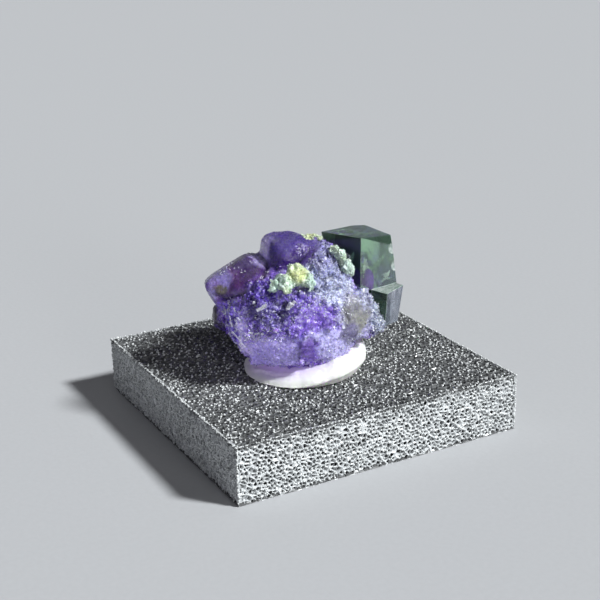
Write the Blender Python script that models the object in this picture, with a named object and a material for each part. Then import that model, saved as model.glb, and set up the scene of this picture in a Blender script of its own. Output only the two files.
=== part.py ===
"""A thumbnail specimen of phantom fluorite, stuck with white putty to a square foam pad.

Sizes are in millimetres, and finish_object turns them into Blender's metres. The pad stands on Z = 0 with
its centre over the origin and its sides along X and Y. The specimen and the putty are laid out in the
specimen's own axes, X to its right, Y away from its front and Z up, and the empty "specimen" turns them
together to face one corner of the pad.
"""

import math
import random

import bmesh
import bpy
from mathutils import Euler, Matrix, Vector, noise

MM = 0.001
GAP = 0.3  # kept between neighbours that touch
SEED = 7
SPECIMEN_TURN = -28.2  # degrees about Z

# Pad
PAD_SIDE = 30.0
PAD_HEIGHT = 5.7
PAD_STEPS = 24  # the knife's waves along one side
PAD_WAVE = 0.12  # how deep they are
PAD_RIPPLE = Vector((9.0, 9.0, 0.7))  # how many waves fit in half a side, and how they change with the height
PAD_COURSES = 4  # rows of facets in the height of a cut side

# Putty, a disc that is thickest at its right rim
PUTTY_CENTRE = (-0.05, -2.15)
PUTTY_RADIUS = 6.15
PUTTY_LEFT = 0.45
PUTTY_RIGHT = 2.4
PUTTY_POINTS = 40
PUTTY_RINGS = (  # share of the radius and of the height
    (0.92, 0.0),
    (1.0, 0.25),
    (1.0, 0.65),
    (0.95, 0.9),
    (0.84, 1.0),
)
PUTTY_RIM = ((0.035, 1.7), (0.015, 5.0))  # how far the rim wanders, as a share of the radius, and how often
PUTTY_LUMPS = (0.08, 3.0)  # how much the height varies, as a share of it, and how often
PUTTY_NOISE = 3.0  # picks the run of waves

LOBE_LUMPS = 0.2  # how high the lumps of a lobe stand
LUMPS_PER_RADIUS = 2.3
CUBE_WEAR = 0.12  # how wide a worn edge is

# Crystals of the purple mass that etching has rounded: centre, radii, turn in degrees about X, Y and Z, and
# squareness, where 2 is an ellipsoid and a large number is a box.
PURPLE_LOBES = {
    "front dome": ((-1.3, -2.2, 11.1), (6.4, 5.6, 4.9), (-8, 14, 10), 2.9),
    "frosted shoulder": ((1.2, -1.8, 13.5), (3.1, 4.2, 4.7), (0, -8, 24), 2.9),
    "top lobe": ((-1.45, -1.2, 16.8), (2.4, 3.0, 2.05), (0, 6, 15), 3.2),
    "left hump": ((-4.6, -0.6, 14.8), (2.0, 2.3, 1.7), (0, -12, 0), 2.6),
    "left bump": ((-8.0, 0.8, 9.9), (1.1, 1.3, 1.3), (0, 0, 0), 2.4),
    "back": ((1.0, 3.0, 11.8), (5.0, 3.6, 4.0), (0, 0, 30), 3.2),
}

# Crystals of the purple mass that kept flat faces: centre, edges and turn.
PURPLE_CUBES = {
    "left corner": ((-6.0, -2.0, 13.45), (5.2, 4.0, 5.4), (-14, -29, 12)),
    "lower face": ((-2.5, -5.2, 9.0), (5.0, 3.6, 3.3), (-14, 0, -6)),
    "violet patch": ((0.4, -5.9, 9.2), (1.9, 2.2, 2.6), (-12, 4, -4)),
    "smoky window": ((4.5, -3.5, 11.3), (3.2, 3.2, 4.2), (-4, 4, 30)),
    "rubble top": ((5.5, -2.7, 12.6), (1.2, 1.4, 1.7), (8, 20, 40)),
    "rubble middle": ((6.0, -2.7, 11.2), (1.5, 1.7, 1.9), (-10, 12, 24)),
    "rubble foot": ((6.3, -2.4, 9.9), (1.7, 1.9, 1.6), (6, -24, 50)),
    "crest": ((0.3, -0.9, 17.25), (2.5, 2.6, 2.1), (0, 5, 22)),
    "back left": ((-4.2, 3.6, 12.2), (4.4, 4.0, 4.6), (8, -10, 24)),
    "back right": ((2.6, 5.0, 13.4), (3.2, 3.0, 3.6), (-6, 12, 40)),
    "back top": ((-0.8, 4.3, 14.8), (2.8, 2.6, 2.4), (12, 6, 18)),
}

# Small crystals scattered over a lobe: how many, their smallest and largest edge, and how far they turn
# from the lobe's own axes, in degrees.
DRUSE = {
    "front dome": (110, 0.7, 1.7, 14),
    "frosted shoulder": (70, 0.5, 1.2, 40),
    "back": (26, 0.8, 1.8, 16),
}
DRUSE_WIDTH = (0.8, 1.4)  # of a small crystal's first edge
DRUSE_HEIGHT = (0.7, 1.1)
DRUSE_SUNK = 0.36
DRUSE_LOWEST = PAD_HEIGHT + PUTTY_RIGHT + 0.6

# Corners of the clear green crystal. Its top is broken into facets that meet in a crest.
GREEN_TOP = (
    (5.62, -3.0, 18.86),
    (2.2, 2.0, 17.2),
    (2.0, 3.6, 17.6),
    (5.1, 4.8, 17.8),
    (6.4, 4.2, 18.0),
    (7.4, 2.6, 17.95),
    (8.7, 0.6, 18.0),
    (8.8, -0.3, 17.2),
)
GREEN_FOOT = ((5.5, -3.0, 10.4), (2.2, 2.0, 10.6), (5.6, 4.8, 11.4), (9.4, -0.3, 11.4))
GREEN_CHIPS = (((9.3, -0.8, 17.0), 0.95), ((9.5, -0.75, 15.2), 0.9))  # scoops in its right edge

# Corners of the smaller crystal stepped off it, which narrows to its foot
STEP_TOP = ((6.5, -2.15, 13.4), (8.1, -3.1, 13.2), (9.8, -1.2, 13.4), (8.3, 0.6, 13.4))
STEP_FOOT = ((7.7, -1.6, 9.7), (7.9, -2.6, 9.7), (9.25, -1.3, 9.7), (8.6, -0.5, 9.7))

# The purple zone inside the green crystal, which rises from its foot
PHANTOM = ((6.0, -0.9, 12.7), (0.65, 0.7, 2.4), (4, 6, 36), 3.0)

# Lumps of small pale crystals: centre, radius, and how many crystals are in one
PALE_LUMPS = {
    "pale_lumps": (
        ((-1.9, -6.4, 15.6), 1.3, 16),
        ((-0.65, -6.0, 16.4), 1.1, 12),
        ((0.5, -6.0, 15.9), 0.85, 9),
    ),
    "pale_crust_top": (
        ((0.4, -0.9, 18.5), 0.8, 9),
        ((1.4, -1.0, 18.35), 0.85, 9),
    ),
    "pale_crust_side": (
        ((2.95, -3.5, 17.9), 0.6, 7),
        ((3.5, -3.8, 17.25), 0.7, 8),
        ((4.05, -4.1, 16.5), 0.75, 8),
        ((4.4, -4.2, 15.8), 0.6, 6),
    ),
}
PALE_HEART = 0.8  # share of a lump's radius
PALE_UNEVEN = 0.3  # how high its own bumps stand, as a share of its radius
PALE_EDGES = (0.55, 0.85)  # its crystals' smallest and largest edge, as shares of its radius
PALE_OUT = 0.6  # how far out they lie, as a share of its radius


def turned(degrees):
    """The rotation for a turn in degrees about X, Y and Z."""
    return Euler([math.radians(d) for d in degrees]).to_matrix().to_4x4()


def finish_object(name, bm, parent=None):
    """Makes an object from a bmesh in millimetres, and frees the bmesh."""
    bmesh.ops.scale(bm, vec=(MM, MM, MM), verts=bm.verts)
    bmesh.ops.recalc_face_normals(bm, faces=bm.faces)
    mesh = bpy.data.meshes.new(name)
    bm.to_mesh(mesh)
    bm.free()
    made = bpy.data.objects.new(name, mesh)
    bpy.context.scene.collection.objects.link(made)
    made.parent = parent
    return made


def lobe_point(way, centre, radii, turn, squareness, grow=0.0):
    """The point of a lobe's surface in the direction way, which is in the lobe's own axes."""
    reach = sum(abs(c) ** squareness for c in way) ** (-1 / squareness)
    spot = Vector([c * reach * (r + grow) for c, r in zip(way, radii)])
    return Matrix.Translation(centre) @ turned(turn) @ spot


def lobe(facts, grow=0.0, subdivisions=3, lumps=LOBE_LUMPS):
    """A crystal rounded by etching, with shallow lumps."""
    bm = bmesh.new()
    bmesh.ops.create_icosphere(bm, subdivisions=subdivisions, radius=1.0)
    for v in bm.verts:
        way = v.co.normalized()
        rise = lumps * noise.noise(way * LUMPS_PER_RADIUS + Vector(facts[0]))
        v.co = lobe_point(way, *facts, grow + rise)
    return bm


def cube(centre, edges, turn, grow=0.0, wear=CUBE_WEAR):
    """A crystal with flat faces and, with wear, blunt edges."""
    bm = bmesh.new()
    bmesh.ops.create_cube(bm, size=1.0)
    bmesh.ops.scale(bm, vec=[e + 2 * grow for e in edges], verts=bm.verts)
    if wear:
        bmesh.ops.bevel(bm, geom=bm.edges, offset=wear, segments=1, affect="EDGES")
    bmesh.ops.transform(bm, matrix=Matrix.Translation(centre) @ turned(turn), verts=bm.verts)
    return bm


def hull(points):
    """A crystal between its corners."""
    bm = bmesh.new()
    for point in points:
        bm.verts.new(point)
    made = bmesh.ops.convex_hull(bm, input=bm.verts)
    bmesh.ops.delete(bm, geom=list(set(made["geom_interior"])), context="VERTS")
    return bm


def ball(centre, radius):
    """A scoop that a conchoidal chip leaves."""
    bm = bmesh.new()
    bmesh.ops.create_icosphere(bm, subdivisions=2, radius=radius, matrix=Matrix.Translation(centre))
    return bm


def druse(name, grow):
    """Small crystals half sunk in a lobe and nearly in line with it, above the putty."""
    count, smallest, largest, swing = DRUSE[name]
    facts = PURPLE_LOBES[name]
    chance = random.Random(f"{SEED} {name}")
    made = []
    while len(made) < count:
        way = Vector([chance.gauss(0, 1) for _ in range(3)]).normalized()
        edge = chance.uniform(smallest, largest)
        edges = (edge, edge * chance.uniform(*DRUSE_WIDTH), edge * chance.uniform(*DRUSE_HEIGHT))
        turn = [t + chance.uniform(-swing, swing) for t in facts[2]]
        spot = lobe_point(way, *facts, -DRUSE_SUNK * edge)
        if spot.z - edge > DRUSE_LOWEST:
            made.append(cube(spot, edges, turn, grow, wear=0))
    return made


def purple_shapes(grow=0.0):
    """The shapes that make the purple mass, or larger ones that cut room for it."""
    shapes = [lobe(facts, grow) for facts in PURPLE_LOBES.values()]
    shapes += [cube(*facts, grow) for facts in PURPLE_CUBES.values()]
    for name in DRUSE:
        shapes += druse(name, grow)
    return shapes


def pale_lump(number, centre, radius, count):
    """A rounded heap of small crystals that point all ways."""
    chance = random.Random(SEED + number)
    heart = (centre, (radius * PALE_HEART,) * 3, (0, 0, 0), 2.0)
    shapes = [lobe(heart, subdivisions=2, lumps=PALE_UNEVEN * radius)]
    for _ in range(count):
        way = Vector([chance.gauss(0, 1) for _ in range(3)]).normalized()
        edge = radius * chance.uniform(*PALE_EDGES)
        tilt = [chance.uniform(0, 90) for _ in range(3)]
        shapes.append(cube(Vector(centre) + way * radius * PALE_OUT, (edge, edge, edge), tilt, wear=0))
    return shapes


def combined(solid, operation, shapes):
    """Unites or cuts solid with shapes, which are other objects, and keeps only the result."""
    group = bpy.data.collections.new(f"{solid.name}_{operation}")
    for shape in shapes:
        group.objects.link(shape)
    modifier = solid.modifiers.new(operation, "BOOLEAN")
    modifier.operation = operation
    modifier.solver = "EXACT"
    modifier.operand_type = "COLLECTION"
    modifier.collection = group
    depsgraph = bpy.context.evaluated_depsgraph_get()
    solid.data = bpy.data.meshes.new_from_object(solid.evaluated_get(depsgraph))
    solid.modifiers.remove(modifier)
    bpy.data.collections.remove(group)


def fused(name, bmeshes, parent):
    """One solid from shapes that overlap."""
    shapes = [finish_object(f"{name}_{number}", bm, parent) for number, bm in enumerate(bmeshes)]
    solid = shapes.pop(0)
    solid.name = name
    combined(solid, "UNION", shapes)
    for shape in shapes:
        bpy.data.objects.remove(shape)
    return solid


def island(start):
    """The vertices that edges join to start."""
    found, fresh = {start}, [start]
    while fresh:
        near = [edge.other_vert(vert) for vert in fresh for edge in vert.link_edges]
        fresh = list(set(near) - found)
        found.update(fresh)
    return found


def drop_crumbs(solid):
    """Keeps the largest of the bodies that a cut has parted a solid into."""
    bm = bmesh.new()
    bm.from_mesh(solid.data)
    islands, left = [], set(bm.verts)
    while left:
        islands.append(island(next(iter(left))))
        left -= islands[-1]
    largest = max(islands, key=len)
    bmesh.ops.delete(bm, geom=[v for v in bm.verts if v not in largest], context="VERTS")
    bm.to_mesh(solid.data)
    bm.free()


def bridge(bm, rows):
    """Joins rows of vertices, each row a closed ring, with four-sided faces."""
    for low, high in zip(rows, rows[1:]):
        for i in range(len(low)):
            j = (i + 1) % len(low)
            bm.faces.new((low[i], low[j], high[j], high[i]))


def pad():
    """The foam pad: flat above and below, with sides that the knife left slightly wavy."""
    bm = bmesh.new()
    corners = ((-1, -1), (1, -1), (1, 1), (-1, 1))
    rows = []
    for course in range(PAD_COURSES + 1):
        z = PAD_HEIGHT * course / PAD_COURSES
        row = []
        for (x0, y0), (x1, y1) in zip(corners, corners[1:] + corners[:1]):
            for step in range(PAD_STEPS):
                t = step / PAD_STEPS
                x, y = x0 + (x1 - x0) * t, y0 + (y1 - y0) * t
                wave = noise.noise(Vector((x, y, z)) * PAD_RIPPLE)
                half = PAD_SIDE / 2 - PAD_WAVE * (1 + wave) / 2
                row.append(bm.verts.new((x * half, y * half, z)))
        rows.append(row)
    bridge(bm, rows)
    bm.faces.new(rows[-1])
    bm.faces.new(list(reversed(rows[0])))
    return finish_object("foam_pad", bm)


def putty(parent):
    """The putty: a pressed disc with an uneven rim."""
    bm = bmesh.new()
    base = PAD_HEIGHT + GAP
    rows = []
    for share, rise in PUTTY_RINGS:
        row = []
        for i in range(PUTTY_POINTS):
            angle = 2 * math.pi * i / PUTTY_POINTS
            x, y = math.cos(angle), math.sin(angle)
            uneven = sum(much * noise.noise((x * often, y * often, PUTTY_NOISE)) for much, often in PUTTY_RIM)
            radius = PUTTY_RADIUS * share * (1 + uneven)
            thick = PUTTY_LEFT + (PUTTY_RIGHT - PUTTY_LEFT) * ((x + 1) / 2) ** 2
            much, often = PUTTY_LUMPS
            thick *= 1 + much * noise.noise((x * often, y * often, PUTTY_NOISE))
            spot = (PUTTY_CENTRE[0] + radius * x, PUTTY_CENTRE[1] + radius * y, base + thick * rise)
            row.append(bm.verts.new(spot))
        rows.append(row)
    bridge(bm, rows)
    bm.faces.new(list(reversed(rows[0])))
    crown = bm.verts.new((*PUTTY_CENTRE, base + (PUTTY_LEFT + PUTTY_RIGHT) / 2))
    for i in range(PUTTY_POINTS):
        bm.faces.new((rows[-1][i], rows[-1][(i + 1) % PUTTY_POINTS], crown))
    return finish_object("putty", bm, parent)


def paint(solid, colour, roughness):
    """Gives solid a plain material of its own."""
    made = bpy.data.materials.new(solid.name)
    made.use_nodes = True
    shader = made.node_tree.nodes["Principled BSDF"]
    shader.inputs["Base Color"].default_value = (*colour, 1.0)
    shader.inputs["Roughness"].default_value = roughness
    shader.inputs["Metallic"].default_value = 0.0
    solid.data.materials.append(made)


def main():
    for old in list(bpy.data.objects):
        bpy.data.objects.remove(old)
    specimen = bpy.data.objects.new("specimen", None)
    bpy.context.scene.collection.objects.link(specimen)
    specimen.rotation_euler.z = math.radians(SPECIMEN_TURN)

    foam = pad()
    disc = putty(specimen)
    purple = fused("purple_fluorite", purple_shapes(), specimen)
    clear = [hull(GREEN_TOP + GREEN_FOOT), hull(STEP_TOP + STEP_FOOT)]
    green = fused("green_fluorite", clear, specimen)
    phantom = finish_object("purple_phantom", lobe(PHANTOM, subdivisions=2), specimen)
    lumps = []
    for name, heaps in PALE_LUMPS.items():
        shapes = [shape for number, heap in enumerate(heaps) for shape in pale_lump(number, *heap)]
        lumps.append(fused(name, shapes, specimen))

    room = fused("room_for_purple", purple_shapes(GAP), specimen)
    pocket = finish_object("room_for_phantom", lobe(PHANTOM, GAP, subdivisions=2), specimen)
    chips = [
        finish_object(f"chip_{number}", ball(*facts), specimen)
        for number, facts in enumerate(GREEN_CHIPS)
    ]
    for solid in (disc, phantom, *lumps):
        combined(solid, "DIFFERENCE", [room])
    combined(green, "DIFFERENCE", [room, pocket, *chips])
    for solid in (green, phantom, *lumps):
        drop_crumbs(solid)
    for cutter in (room, pocket, *chips):
        bpy.data.objects.remove(cutter)

    paint(foam, (0.03, 0.03, 0.032), 0.45)
    paint(disc, (0.9, 0.88, 0.86), 0.55)
    paint(purple, (0.30, 0.18, 0.62), 0.25)
    paint(green, (0.72, 0.86, 0.76), 0.05)
    paint(phantom, (0.24, 0.10, 0.42), 0.2)
    for lump in lumps:
        paint(lump, (0.78, 0.86, 0.66), 0.35)


main()
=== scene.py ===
"""The looks of a phantom fluorite specimen stuck with white putty to a square foam pad.

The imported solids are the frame. Lengths here are in millimetres until to_metres turns them into Blender's
metres. Places on the specimen are in its own axes, X to its right, Y away from its front and Z up from the
pad's underside, and SPECIMEN_TURN turns them into the pad's axes.
"""

import math

import bmesh
import bpy
import numpy as np
from mathutils import Matrix, Vector, noise
from mathutils.bvhtree import BVHTree
from mathutils.geometry import delaunay_2d_cdt
from mathutils.kdtree import KDTree


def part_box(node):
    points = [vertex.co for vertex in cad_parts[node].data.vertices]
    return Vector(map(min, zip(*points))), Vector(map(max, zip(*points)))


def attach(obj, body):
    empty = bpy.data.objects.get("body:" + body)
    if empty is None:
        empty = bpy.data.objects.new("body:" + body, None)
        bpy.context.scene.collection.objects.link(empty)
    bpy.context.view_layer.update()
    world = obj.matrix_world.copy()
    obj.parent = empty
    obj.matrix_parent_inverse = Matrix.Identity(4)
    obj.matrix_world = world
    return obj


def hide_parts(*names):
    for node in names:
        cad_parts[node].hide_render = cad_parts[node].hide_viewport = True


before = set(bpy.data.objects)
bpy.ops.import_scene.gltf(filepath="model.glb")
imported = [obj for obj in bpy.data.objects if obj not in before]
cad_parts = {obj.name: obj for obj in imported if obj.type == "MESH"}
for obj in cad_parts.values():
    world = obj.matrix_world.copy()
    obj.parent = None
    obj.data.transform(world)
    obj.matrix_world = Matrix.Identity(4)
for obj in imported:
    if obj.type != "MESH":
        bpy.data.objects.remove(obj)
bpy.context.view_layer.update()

MM = 0.001
SPECIMEN_TURN = math.radians(-28.2)
COS, SIN = math.cos(SPECIMEN_TURN), math.sin(SPECIMEN_TURN)
CAD_GAP = 0.3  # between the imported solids
SEEDS = {"foam_top": 11, "foam_sides": 12, "foam_bottom": 13, "purple_mass": 21, "veils": 51}
FLUORITE_IOR = 1.434

pad_low, pad_high = (np.array(corner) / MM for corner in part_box("foam_pad"))
PAD_HALF = float(min(pad_high[:2] - pad_low[:2])) / 2
PAD_TOP = float(pad_high[2])

# Foam
CELL = 0.46  # from one cell to the next
SIDE_CELL = 0.42
BOTTOM_CELL = CELL * 1.25
CELL_JITTER = 0.34  # as a share of that
CELLS_MERGED = 0.11  # the share of cells that are missing, which leaves a larger one
TOP_LIPS, SIDE_LIPS = (0.68, 0.84), (0.72, 0.92)  # the width of a cell's lip, as a share of the cell's
CELL_HOLE = (0.35, 0.8)  # the width of the hole in a cell, as a share of its lip's
CORE_DEPTH = 0.42  # how far the inside, near black as painted shade, lies under the cut faces
PAINTED_LIGHT_DEPTH = 0.55 * CORE_DEPTH  # how deep the painted light on the struts fades out into the cells' painted shade
BEAD_DEPTH, BEAD_RISE = 0.12, 0.15  # no strut ends lie deeper than this, or nearer the pad's foot
RIM_FADE = 0.6  # how far down from their top the sides' struts have less painted light and are darker, like the top's

# Camera, fitted to the pad's corners
CAMERA_AT = (-55.98, -103.74, 54.37)
CAMERA_PITCH = math.radians(19.9)
CAMERA_ROLL = math.radians(1.5)
CAMERA_LENS = 76.08

# A far lamp's way, in the specimen's axes, how many degrees across it is, its strength and its colour
KEY = ((0.684, -0.246, 0.687), 9, 4.7, (0.95, 0.98, 1.0))
FRONT = ((0.5, -0.85, 0.15), 20, 0.8, (0.97, 0.98, 1.0))
FILL = ((-0.8, -0.5, 0.5), 50, 0.18, (0.84, 0.82, 1.0))
RIM = ((-0.35, 0.8, 0.5), 35, 0.15, (1.0, 1.0, 1.0))
# The small lamp for the light through the mass: its spot, its way, the lit radius, strength and colour
GLOW = ((-5.2, -6.6, 10.0), (-0.72, -0.66, 0.2), 4.0, 2.0, (0.82, 0.74, 1.0))
GLOW_DISTANCE, GLOW_SIZE = 120.0, 4.0
SKY = ((0.8, 0.83, 0.88, 1.0), 0.08)

# Zones of the purple mass: centre, radii, colour and smoothness, from 0 for a crust of small crystals to 1
# for a clear flat face.
VIOLET = (0.23, 0.12, 0.66)
PURPLE_ZONES = (
    ((-1.5, -7.2, 13.6), (5.4, 3, 2.5), (0.19, 0.11, 0.58), 0),
    ((-2.6, -7.6, 13.4), (2.8, 2.2, 1.3), (0.1, 0.06, 0.36), 0),
    ((-7, -4.8, 12.6), (1.7, 1.7, 1.9), (0.2, 0.1, 0.86), 0.3),
    ((-3.9, -6.6, 15), (2.4, 1.2, 0.9), (0.13, 0.06, 0.54), 0.1),
    ((2.3, -4.8, 15.6), (2.7, 2.4, 3), (0.27, 0.29, 0.5), 0),
    ((3.4, -5, 14), (1.6, 2, 1.6), (0.43, 0.46, 0.68), 0),
    ((1.6, -3.4, 17.5), (1.8, 2.8, 1.3), (0.27, 0.26, 0.52), 0),
    ((0.1, -3.6, 17.7), (1.3, 1.6, 1), (0.15, 0.1, 0.36), 0.15),
    ((1.5, -7.3, 10.4), (2.5, 1.7, 1.2), (0.48, 0.44, 0.9), 0.5),
    ((1, -7.3, 12.6), (2.3, 1.7, 1.5), (0.25, 0.14, 0.68), 0.4),
    ((3.2, -6.3, 9.2), (2.5, 2.1, 1.7), (0.47, 0.43, 0.82), 0.5),
    ((-2.9, -7.6, 9.3), (3.1, 2.2, 1.75), (0.44, 0.37, 0.86), 0.6),
    ((-6, -6.2, 10.6), (1.5, 1.8, 2.2), (0.5, 0.42, 0.96), 0.3),
    ((0.35, -7.7, 9.5), (0.9, 1.3, 1.2), (0.26, 0.15, 0.66), 0.9),
    ((-6.4, -2.2, 14.6), (3.6, 3.6, 2.6), (0.21, 0.1, 0.42), 1),
    ((-5.9, -3.3, 15.5), (2.7, 2.2, 1.9), (0.26, 0.08, 0.36), 1),
    ((-4.6, -3.8, 16), (1.7, 2, 1.1), (0.15, 0.045, 0.27), 1),
    ((-7.6, -3.2, 15.3), (1.1, 1.8, 1.3), (0.31, 0.25, 0.6), 1),
    ((-8.7, -0.9, 14.9), (1.2, 2.2, 0.8), (0.34, 0.3, 0.54), 1),
    ((-8.8, -2.6, 12.8), (0.7, 1.8, 2.7), (0.44, 0.39, 0.72), 0.95),
    ((-7, -5.2, 10.9), (1.2, 1.8, 2.6), (0.2, 0.12, 0.74), 0.2),
    ((-7.9, -4, 14.35), (0.62, 0.8, 0.5), (0.17, 0.15, 0.08), 0.8),
    ((-4.9, -2, 16.9), (1.9, 2.6, 1.3), (0.12, 0.07, 0.22), 1),
    ((-1.5, -1.6, 17.4), (3.1, 3.7, 2.3), (0.18, 0.1, 0.46), 1),
    ((-1.5, -2.2, 18), (2.7, 2.9, 1.5), (0.13, 0.08, 0.41), 1),
    ((-1.1, -4, 17.1), (2, 1.3, 0.9), (0.08, 0.02, 0.3), 1),
    ((-3.8, -1.6, 17.4), (1, 2.4, 1.6), (0.62, 0.52, 0.96), 1),
    ((0.1, -3.5, 18.1), (0.9, 1, 0.6), (0.16, 0.1, 0.38), 0.05),
    ((4.8, -5, 11.6), (2.2, 1.8, 2.8), (0.42, 0.41, 0.62), 0.3),
    ((4.9, -5, 12), (1.5, 1.8, 1.9), (0.33, 0.33, 0.34), 0.85),
    ((5.2, -5, 10.9), (1.1, 1.5, 1.1), (0.36, 0.36, 0.34), 0.85),
    ((4.1, -5.2, 10.3), (1.2, 1.5, 1.2), (0.24, 0.22, 0.38), 0.7),
    ((6.2, -3.2, 13.2), (1.4, 1.8, 1.2), (0.36, 0.37, 0.54), 0.1),
    ((7.2, -3, 11), (1.3, 1.7, 2.4), (0.32, 0.36, 0.48), 0),
    ((-8.6, 0.4, 10.2), (1.3, 1.4, 1.4), (0.2, 0.18, 0.22), 0.8),
    ((-4.2, 4.6, 12.6), (2.6, 2.2, 2.4), (0.25, 0.2, 0.46), 0.7),
    ((-5.4, 4.9, 13.6), (1.2, 1.8, 0.9), (0.42, 0.38, 0.62), 0.5),
    ((2.6, 5.6, 13.4), (2.6, 2.2, 2.4), (0.38, 0.35, 0.62), 0.3),
    ((-0.6, 4, 15.2), (2.2, 2, 1.4), (0.3, 0.29, 0.46), 0.1),
    ((-7.6, 1.6, 15), (1.6, 2.2, 1.4), (0.34, 0.3, 0.48), 0.8),
    ((1.5, 5.5, 10.2), (4.5, 2.5, 1.8), (0.54, 0.52, 0.82), 0.1),
)

# how fine the mass's remeshed surface is
MASS_VOXEL = 0.108  # as fine as 200,000 triangles allow
BORDER_SCATTER = 0.5  # how far the zones' borders wander
SWELL = 0.08  # the height of its broad unevenness
ROUND_LEFT = ((-6.4, -1.6, 14.8), (3.6, 4, 3.2))  # the smooth lobe at the left: centre and radii
ROUND_WINDOW = ((4.9, -5.3, 11.6), (2, 1.8, 2.8))  # the glassy patch at the right
LOBE_RISE, WINDOW_RIPPLE = 0.18, 0.12
# How deep the pits are carved, and how much painted shade darkens the pits and the seams
PIT_DEPTH, PAINTED_PIT_SHADE = 0.12, 0.65
PAINTED_SEAM_SHADE = 0.72
# The coat: spacing, smallest and largest edge, degrees of disorder, the share of places that have a crystal,
# and the share of crystals that are pale
COAT = ((0.6, 0.16, 0.32, 18, 0.22, 0.1), (0.22, 0.05, 0.17, 35, 0.6, 0.2))
FROST, FROST_SHARE = (0.8, 0.8, 1), 0.14
# Near white for pale crystals, and for the painted glints of the sparkles and flakes
PALE_AND_GLINT_WHITE = (0.88, 0.88, 1)
SHORTEST, LONGEST = 0.5, 1.4  # sides of a small crystal, as shares of its edge

# Clear crystal
EDGE_WEAR = 0.16
LARGE_FACE = 0.8 * MM * MM  # only edges between larger faces are worn
STEP_TOP, STEP_MIDDLE, STEP_LEFT = 14, 13.2, 7.5  # bounds that take in the smaller step's faces
PHANTOM_SHIFT = (-0.3, 0, 0)
FILLING_LAP = 0.15  # how far the filling of the phantom's room runs into the crystal
PLAIN, WORN_AND_GLINT, CHIPPED_AND_PAINTED_LIGHT, PAINTED_SHADE_FACE, CLOUDY = range(5)  # its materials
CLOUDED = ((0.45, 0.66, 0.54), 180)  # what its rough faces absorb: colour and density
GREEN_CHIPS = (((9.3, -0.8, 17), 0.98), ((9.5, -0.75, 15.2), 0.93))  # centre and radius
VEILS = (  # centre, half the sheet's way across and down, and the number of flakes
    ((5.9, -2.3, 15.9), (0.3, 0.1, 0.1), (0.1, 0, 0.9), 160),
    ((4.9, -1.6, 16.6), (0.7, 0.2, 0.4), (0.2, 0.1, -0.5), 120),
    ((8.2, -0.7, 14.4), (0.5, 0.35, 0.15), (0.05, 0.2, -0.3), 160),
    ((7.8, -0.5, 13.9), (0.6, 0.5, 0.1), (0.25, 0.1, 0.2), 140),
    ((8.4, -1.6, 11.3), (0.15, 0.1, 0.1), (0.1, 0.1, 1.1), 160),
    ((6, 2.6, 14.5), (1.3, 0.3, 0.8), (0.2, 0.9, -0.5), 260),
)

# Pale crystals that stand out of the crust, some of them painted highlights, and long thin ones down the left
# edge that are pale as painted streaks of light: centre, edges and turn
PALE_FLAKES = (
    ((-3.9, -8.25, 13.95), (0.95, 0.25, 0.2), (20, -22, 8)),
    ((-3.6, -8.2, 14.2), (0.45, 0.25, 0.12), (30, -30, 15)),
    ((-4.6, -7.3, 14.2), (0.2, 0.2, 0.2), (20, 10, 25)),
    ((-1.2, -8, 14.1), (0.5, 0.3, 0.5), (30, 20, 35)),
    ((-1.45, -7.95, 13.75), (0.35, 0.3, 0.4), (50, 10, 0)),
    ((-0.9, -7.9, 14.35), (0.25, 0.2, 0.3), (10, 40, 15)),
    ((-0.3, -6.7, 15), (0.16, 0.16, 0.16), (10, 20, 5)),
    ((0.5, -7.2, 13.75), (0.2, 0.15, 0.15), (10, 20, 5)),
    ((1, -6.8, 14.5), (0.25, 0.12, 0.12), (10, 20, 35)),
    ((1.54, -6.85, 13.7), (0.22, 0.15, 0.15), (10, 20, 5)),
    ((3.3, -6.2, 13.3), (0.5, 0.12, 0.12), (0, 45, 5)),
    ((-6.95, -6.1, 12.4), (0.12, 0.12, 0.8), (-10, -8, 0)),
    ((-6.85, -6.15, 11.7), (0.16, 0.14, 0.6), (-10, -25, 0)),
    ((-6.55, -6.5, 10.8), (0.12, 0.12, 0.7), (-10, -35, 0)),
    ((-6.1, -6.95, 10.4), (0.14, 0.12, 0.7), (-10, -40, 0)),
    ((-5.7, -7.2, 9.95), (0.12, 0.12, 0.6), (-10, -45, 0)),
    ((-6, -6.8, 11.2), (0.1, 0.1, 0.6), (-10, -30, 0)),
    ((-4.95, -8.05, 11.5), (0.35, 0.12, 0.16), (0, 10, 10)),
    ((-4.4, -8.05, 11.4), (0.45, 0.12, 0.14), (0, -5, 5)),
    ((-3.9, -8.05, 11.35), (0.3, 0.12, 0.12), (0, 15, 0)),
)

# The pale pieces: the run of random numbers, how yellow, the crystals' spacing and edges, and the share of
# the height that is kept
PALE_PIECES = {
    "pale_lumps": (41, 0.15, 0.3, (0.06, 0.17), 1),
    "pale_crust_top": (42, 0.6, 0.3, (0.08, 0.22), 0.6),
    "pale_crust_side": (43, 0.1, 0.17, (0.12, 0.36), 1),
}
PALE_VOXEL = 0.07
YELLOWEST = ((-0.4, -6.2, 16.9), (0.9, 1.2, 1))  # centre and radii
MINT, CREAM = np.array((0.62, 0.84, 0.69)), np.array((0.74, 0.82, 0.36))

PUTTY_VOXEL = 0.12
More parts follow.
